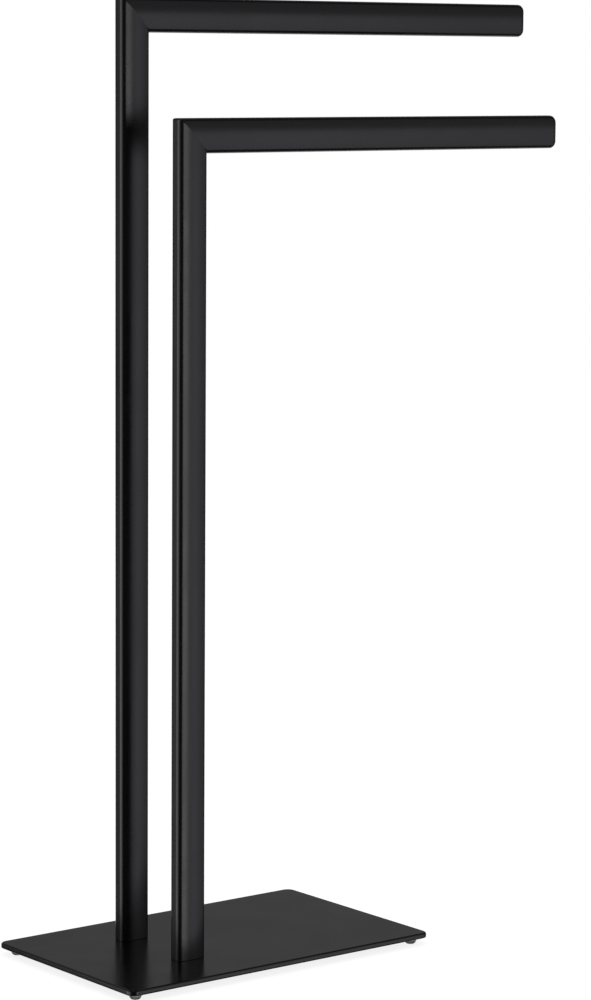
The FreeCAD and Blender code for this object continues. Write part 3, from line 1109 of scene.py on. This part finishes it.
@dataclass(frozen=True)
class ScrewPair:
    """The two countersunk socket screws that hold one post, heads down."""

    rail: str
    head_radius: float = 6.0 * MM
    head_rim: float = 0.3 * MM
    shank_radius: float = 3.0 * MM
    core_radius: float = 2.5 * MM
    core_overlap: float = 0.1
    length: float = 20.0 * MM
    spacing: float = 14.0 * MM
    pitch: float = 1.0 * MM
    socket_sides: int = 6
    socket_across_flats: float = 4.0 * MM
    socket_depth: float = 2.4 * MM
    around: int = 48
    thread_sides: int = 3
    thread_steps: int = 32

    def tree(self) -> GrowTree:
        """Grow one screw, cut its socket, wind its thread and repeat it at both places.

        Returns:
            The tree.
        """
        low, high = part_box(f"{self.rail}_post_screws")
        cone_height = self.head_radius - self.shank_radius
        grown = GrowTree(f"{self.rail}_screw_pair", {
            "First Place": Vector(((low.x + high.x) / 2 - self.spacing / 2, (low.y + high.y) / 2, low.z)),
            "Spacing": Vector((self.spacing, 0.0, 0.0)),
            "Count": 2,
            "Head Radius": self.head_radius,
            "Head Rim": self.head_rim,
            "Cone Height": cone_height,
            "Core Radius": self.core_radius,
            "Core Length": self.length - cone_height - self.head_rim,
            "Thread Pitch": self.pitch,
            "Thread Radius": (self.shank_radius + self.core_radius) / 2,
            "Socket Radius": self.socket_across_flats / 2 / math.cos(math.pi / self.socket_sides),
            "Socket Depth": self.socket_depth,
            "Around": self.around,
        })
        graph, asked = grown.graph, grown.asked
        screw = graph.add("GeometryNodeJoinGeometry")
        for part in (self.body(graph, asked), self.thread(graph, asked)):
            graph.tree.links.new(part, screw.inputs[0])
        places = graph.add("GeometryNodeMeshLine", {
            "Count": asked["Count"], "Start Location": asked["First Place"], "Offset": asked["Spacing"],
        }).outputs["Mesh"]
        pair = graph.add("GeometryNodeInstanceOnPoints", {"Points": places, "Instance": screw.outputs[0]})
        grown.close(pair.outputs["Instances"], Slot.SCREW)
        return grown

    def body(self, graph: Graph, asked: Sockets) -> Socket:
        """Join the head's rim and cone to the core and cut the socket.

        Args:
            graph: The tree's graph.
            asked: The tree's inputs.

        Returns:
            The body's mesh socket.
        """
        rim = self.cylinder(graph, asked["Around"], asked["Head Radius"], asked["Head Rim"], 0.0)
        cone = graph.add("GeometryNodeMeshCone", {
            "Vertices": asked["Around"], "Depth": asked["Cone Height"],
            "Radius Top": asked["Core Radius"], "Radius Bottom": asked["Head Radius"],
        }).outputs["Mesh"]
        cone = self.lift(graph, cone, asked["Head Rim"])
        above_rim = graph.times(asked["Cone Height"], 1 - self.core_overlap)
        core_length = graph.plus(asked["Core Length"], graph.times(asked["Cone Height"], self.core_overlap))
        core = self.cylinder(graph, asked["Around"], asked["Core Radius"], core_length,
                             graph.plus(asked["Head Rim"], above_rim))
        whole = graph.add("GeometryNodeMeshBoolean", operation="UNION", solver="EXACT")
        for part in (rim, cone, core):
            graph.tree.links.new(part, whole.inputs["Mesh 2"])
        blank_depth = graph.times(asked["Socket Depth"], 2.0)
        blank_start = graph.times(asked["Socket Depth"], -1.0)
        socket = self.cylinder(graph, self.socket_sides, asked["Socket Radius"], blank_depth, blank_start)
        meshes = {"Mesh 1": whole.outputs["Mesh"], "Mesh 2": socket}
        cut = graph.add("GeometryNodeMeshBoolean", meshes, operation="DIFFERENCE", solver="EXACT")
        return cut.outputs["Mesh"]

    def cylinder(self, graph: Graph, around: Value, radius: Value, depth: Value, start: Value) -> Socket:
        """An upright cylinder that starts at a level."""
        made = graph.add("GeometryNodeMeshCylinder", {"Vertices": around, "Radius": radius, "Depth": depth})
        return self.lift(graph, made.outputs["Mesh"], graph.plus(start, graph.times(depth, 0.5)))

    def lift(self, graph: Graph, mesh: Socket, rise: Value) -> Socket:
        """Raise a mesh."""
        move = graph.add("ShaderNodeCombineXYZ", {2: rise}).outputs[0]
        return graph.add("GeometryNodeTransform", {"Geometry": mesh, "Translation": move}).outputs[0]

    def thread(self, graph: Graph, asked: Sockets) -> Socket:
        """Wind a three-sided ridge round the core.

        Args:
            graph: The tree's graph.
            asked: The tree's inputs.

        Returns:
            The thread's mesh socket.
        """
        run = graph.minus(asked["Core Length"], graph.times(asked["Thread Pitch"], 2.0))
        spiral = graph.add("GeometryNodeCurveSpiral", {
            "Resolution": self.thread_steps, "Rotations": graph.over(run, asked["Thread Pitch"]),
            "Start Radius": asked["Thread Radius"], "End Radius": asked["Thread Radius"], "Height": run,
        }).outputs["Curve"]
        ridge_radius = graph.minus(asked["Thread Radius"], asked["Core Radius"])
        ridge = graph.add("GeometryNodeCurvePrimitiveCircle", {
            "Resolution": self.thread_sides, "Radius": ridge_radius,
        }).outputs["Curve"]
        curves = {"Curve": spiral, "Profile Curve": ridge, "Fill Caps": True}
        wound = graph.add("GeometryNodeCurveToMesh", curves).outputs["Mesh"]
        start = graph.plus(graph.plus(asked["Head Rim"], asked["Cone Height"]), asked["Thread Pitch"])
        return self.lift(graph, wound, start)

    def build(self) -> None:
        """Make and dress the pair."""
        install(self.tree().grow(f"{self.rail}_screw_pair"), Slot.SCREW, f"{self.rail}_post_screws")


@dataclass(frozen=True)
class DomeFoot:
    """A clear dome foot under one corner of the plate."""

    corner: str
    contact_radius: float = 2.5 * MM
    rim_height: float = 1.2 * MM
    around: int = 64
    up: int = 20
    face_rings: int = 4
    dome_share: float = 0.8

    def tree(self) -> GrowTree:
        """Bend an upright cylinder into the dome: an ellipse from its contact face to its rim.

        Returns:
            The tree.
        """
        low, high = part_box(f"foot_{self.corner}")
        grown = GrowTree(f"foot_{self.corner}_dome", {
            "Place": Vector(((low.x + high.x) / 2, (low.y + high.y) / 2, low.z)),
            "Radius": (high.x - low.x) / 2,
            "Contact Radius": self.contact_radius,
            "Height": high.z - low.z,
            "Rim Height": self.rim_height,
            "Dome Share": self.dome_share,
            "Around": self.around,
            "Up": self.up,
        })
        graph, asked = grown.graph, grown.asked
        blank = graph.add("GeometryNodeMeshCylinder", {
            "Vertices": asked["Around"], "Side Segments": asked["Up"], "Fill Segments": self.face_rings,
            "Radius": 1.0, "Depth": 1.0,
        }, fill_type="TRIANGLE_FAN").outputs["Mesh"]
        across, deep, high_up = graph.axes(graph.add("GeometryNodeInputPosition").outputs[0])
        climb = graph.plus(high_up, 0.5)
        turn = graph.times(graph.over(climb, asked["Dome Share"], clamp=True), math.pi / 2)
        past = graph.minus(climb, asked["Dome Share"])
        rim = graph.over(past, graph.minus(1.0, asked["Dome Share"]), clamp=True)
        spread = graph.minus(asked["Radius"], asked["Contact Radius"])
        radius = graph.plus(asked["Contact Radius"], graph.times(spread, graph.math("SINE", turn)))
        dome_height = graph.minus(asked["Height"], asked["Rim Height"])
        dome_level = graph.times(dome_height, graph.minus(1.0, graph.math("COSINE", turn)))
        level = graph.plus(dome_level, graph.times(rim, asked["Rim Height"]))
        bent = {0: graph.times(across, radius), 1: graph.times(deep, radius), 2: level}
        shape = {"Geometry": blank, "Position": graph.add("ShaderNodeCombineXYZ", bent).outputs[0]}
        dome = graph.add("GeometryNodeSetPosition", shape).outputs[0]
        moved = graph.add("GeometryNodeTransform", {"Geometry": dome, "Translation": asked["Place"]})
        grown.close(moved.outputs[0], Slot.FOOT)
        return grown

    def build(self) -> None:
        """Make and dress the foot and the adhesive above it."""
        install(self.tree().grow(f"{self.corner}_dome"), Slot.FOOT, f"foot_{self.corner}")
        dress_node(f"foot_adhesive_{self.corner}", Slot.ADHESIVE)


@dataclass(frozen=True)
class BasePlate:
    """The flat steel plate with its four feet."""

    corners: tuple[str, ...] = ("front_left", "front_right", "rear_left", "rear_right")

    def build(self) -> None:
        """Dress the plate and put its feet under it."""
        dress_node("base_plate", Slot.PLATE)
        for corner in self.corners:
            DomeFoot(corner).build()


# ---- studio -----------------------------------------------------------------------------
def soft_lamp(name: str, width: float, height: float, brightness: float) -> bpy.types.Object:
    """Make a flat soft lamp that the camera doesn't see.

    Args:
        name: The lamp's name.
        width: Its width.
        height: Its height.
        brightness: How bright it looks when mirrored, 1 being white.

    Returns:
        The lamp's object, at the origin.
    """
    lamp = bpy.data.lights.new(name, "AREA")
    lamp.shape = "RECTANGLE"
    lamp.size, lamp.size_y = width, height
    lamp.energy = brightness * math.pi * lamp.size * lamp.size_y
    holder = put_in_scene(name, lamp)
    holder.visible_camera = False
    return holder


@dataclass(frozen=True)
class Softbox:
    """A flat soft light that the coat mirrors, standing upright and facing the posts."""

    name: str
    from_azimuth: float
    to_azimuth: float
    brightness: float
    bottom: float = -1.1
    top: float = 1.1
    colour: Colour = WHITE
    distance: float = 2.6

    def build(self, hub: Vector) -> None:
        """Put the softbox in the studio, seen only in mirrored light.

        Args:
            hub: The place on the floor that the azimuths and the distance are counted from.
        """
        spread = math.radians(self.to_azimuth - self.from_azimuth)
        width = 2 * self.distance * math.tan(spread / 2)
        holder = soft_lamp(self.name, width, self.top - self.bottom, self.brightness)
        holder.data.color = self.colour
        middle = math.radians((self.from_azimuth + self.to_azimuth) / 2)
        outward = Vector((-math.sin(middle), -math.cos(middle), 0.0))
        holder.location = hub + outward * self.distance + Vector((0, 0, (self.bottom + self.top) / 2))
        holder.rotation_euler = outward.to_track_quat("Z", "Y").to_euler()
        holder.visible_diffuse = False
        holder.visible_transmission = False


@dataclass(frozen=True)
class OverheadLight:
    """A wide soft light above the stand for the plain level of the scene."""

    height: float = 3.0
    side: float = 3.0
    brightness: float = 1.0

    def build(self) -> None:
        """Hang the light; the coat doesn't mirror it."""
        holder = soft_lamp("overhead_light", self.side, self.side, self.brightness)
        holder.location = (0.0, 0.0, self.height)
        holder.visible_glossy = False


@dataclass(frozen=True)
class Backdrop:
    """The white surround, and the dim grey that the coat mirrors of it."""

    white: float = 1.0
    level: float = 0.75
    mirrored: float = 0.05
    mirrored_rear: float = 0.20
    mirrored_zenith: float = 0.20
    rear: Span = (0.05, 0.55)
    horizon: Span = (-0.02, 0.10)
    zenith: Span = (0.88, 0.97)

    def build(self) -> None:
        """Set the world: white to look at, plain grey light, and dim in mirrored light."""
        world = bpy.data.worlds.new("backdrop")
        bpy.context.scene.world = world
        graph = fresh_graph(world)
        world.cycles.sampling_method = "NONE"
        path = graph.add("ShaderNodeLightPath").outputs
        _, to_rear, to_top = graph.axes(graph.add("ShaderNodeTexCoord").outputs["Generated"])
        rear = graph.ramp(to_rear, *self.rear, self.mirrored, self.mirrored_rear)
        raised = graph.times(graph.ramp(to_top, *self.horizon), graph.minus(rear, self.mirrored))
        zenith = graph.ramp(to_top, *self.zenith, 0.0, self.mirrored_zenith)
        mirrored = graph.plus(graph.plus(self.mirrored, raised), zenith)
        seen = graph.math("MAXIMUM", path["Is Camera Ray"], path["Is Transmission Ray"])
        plain = graph.blend(seen, self.level, self.white)
        strength = graph.blend(path["Is Glossy Ray"], plain, mirrored)
        surround = graph.add("ShaderNodeBackground", {"Color": opaque(WHITE), "Strength": strength})
        graph.add("ShaderNodeOutputWorld", {"Surface": surround.outputs[0]})


@dataclass(frozen=True)
class Floor:
    """The pale floor, which keeps the stand's soft shadow."""

    radius: float = 4.0
    colour: Colour = (0.20, 0.20, 0.20)
    lift: float = 0.853

    def build(self) -> None:
        """Lay the floor."""
        mesh = bpy.data.meshes.new("floor")
        corners = [(across * self.radius, deep * self.radius, 0.0)
                   for across, deep in ((-1, -1), (1, -1), (1, 1), (-1, 1))]
        mesh.from_pydata(corners, [], [(0, 1, 2, 3)])
        mesh.materials.append(self.material())
        floor = put_in_scene("floor", mesh)
        floor.visible_glossy = False
        floor.visible_shadow = False

    def material(self) -> bpy.types.Material:
        """Make the floor's paper, which glows up to white where it is looked at or seen through.

        Returns:
            The material.
        """
        material = bpy.data.materials.new("pale_floor")
        graph = fresh_graph(material)
        path = graph.add("ShaderNodeLightPath").outputs
        seen = graph.math("MAXIMUM", path["Is Camera Ray"], path["Is Transmission Ray"])
        seen = graph.math("MAXIMUM", seen, path["Is Glossy Ray"])
        paper = graph.add("ShaderNodeBsdfDiffuse", {"Color": opaque(self.colour)})
        glow = graph.add("ShaderNodeEmission", {"Strength": graph.times(seen, self.lift)})
        both = graph.add("ShaderNodeAddShader", {0: paper.outputs[0], 1: glow.outputs[0]})
        graph.add("ShaderNodeOutputMaterial", {"Surface": both.outputs[0]})
        return material


@dataclass(frozen=True)
class PhotoCamera:
    """The camera of the photograph, fitted to the stand's edges; its angles are degrees."""

    place: tuple[float, float, float] = (-1.8996, -2.3724, 0.7931)
    yaw: float = 38.347
    pitch: float = 7.425
    roll: float = 0.387
    lens_mm: float = 122.46
    sensor_mm: float = 36.0

    def build(self) -> None:
        """Set up the camera: yaw turns it right of +Y, pitch tips it down, roll tips its top left."""
        yaw, pitch, roll = (math.radians(angle) for angle in (self.yaw, self.pitch, self.roll))
        camera = put_in_scene("photo_camera", bpy.data.cameras.new("photo_camera"))
        camera.data.lens = self.lens_mm
        camera.data.sensor_width = self.sensor_mm
        turned = Matrix.Rotation(-yaw, 4, "Z") @ Matrix.Rotation(math.pi / 2 - pitch, 4, "X")
        camera.matrix_world = Matrix.Translation(self.place) @ turned @ Matrix.Rotation(roll, 4, "Z")
        bpy.context.scene.camera = camera


@dataclass(frozen=True)
class Studio:
    """Camera, floor, backdrop and lights."""

    softboxes: tuple[Softbox, ...] = (
        Softbox("far_right_softbox", -71.0, -54.0, 0.42, colour=COOL_WHITE),
        Softbox("right_softbox", -54.0, -42.0, 0.68, colour=COOL_WHITE),
        Softbox("near_right_softbox", -42.0, -30.0, 0.92, colour=COOL_WHITE),
        Softbox("right_upper_softbox", -62.0, -18.0, 0.25, bottom=1.1, top=3.4, colour=COOL_WHITE),
        Softbox("front_right_softbox", -30.0, -14.0, 0.65, colour=COOL_WHITE),
        Softbox("front_strip", -14.0, 2.5, 2.4),
        Softbox("left_fill", 74.0, 91.0, 0.9),
        Softbox("left_softbox", 91.0, 106.0, 1.65),
        Softbox("rear_left_softbox", 106.0, 130.0, 1.95),
        Softbox("rear_left_fill", 130.0, 140.0, 0.9),
        Softbox("rear_floor_softbox", 170.0, 250.0, 0.8, bottom=-1.8, top=0.0),
    )

    def build(self) -> None:
        """Set up everything that isn't part of the stand."""
        bpy.context.scene.view_settings.view_transform = "Standard"
        PhotoCamera().build()
        Floor().build()
        Backdrop().build()
        OverheadLight().build()
        posts = [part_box(f"{name}_post") for name in RAILS]
        hub = sum((low + high for low, high in posts), Vector()) / 4
        hub.z = 0.0
        for softbox in self.softboxes:
            softbox.build(hub)
        LOG.info("studio with %d softboxes", len(self.softboxes))


def main() -> None:
    """Build the stand's looks and the studio."""
    logging.basicConfig(level=logging.INFO, format="%(name)s: %(message)s")
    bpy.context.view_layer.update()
    Studio().build()
    BasePlate().build()
    for name in RAILS:
        Rail(name).build()
    bpy.context.view_layer.update()


if __name__ == "__main__":
    main()
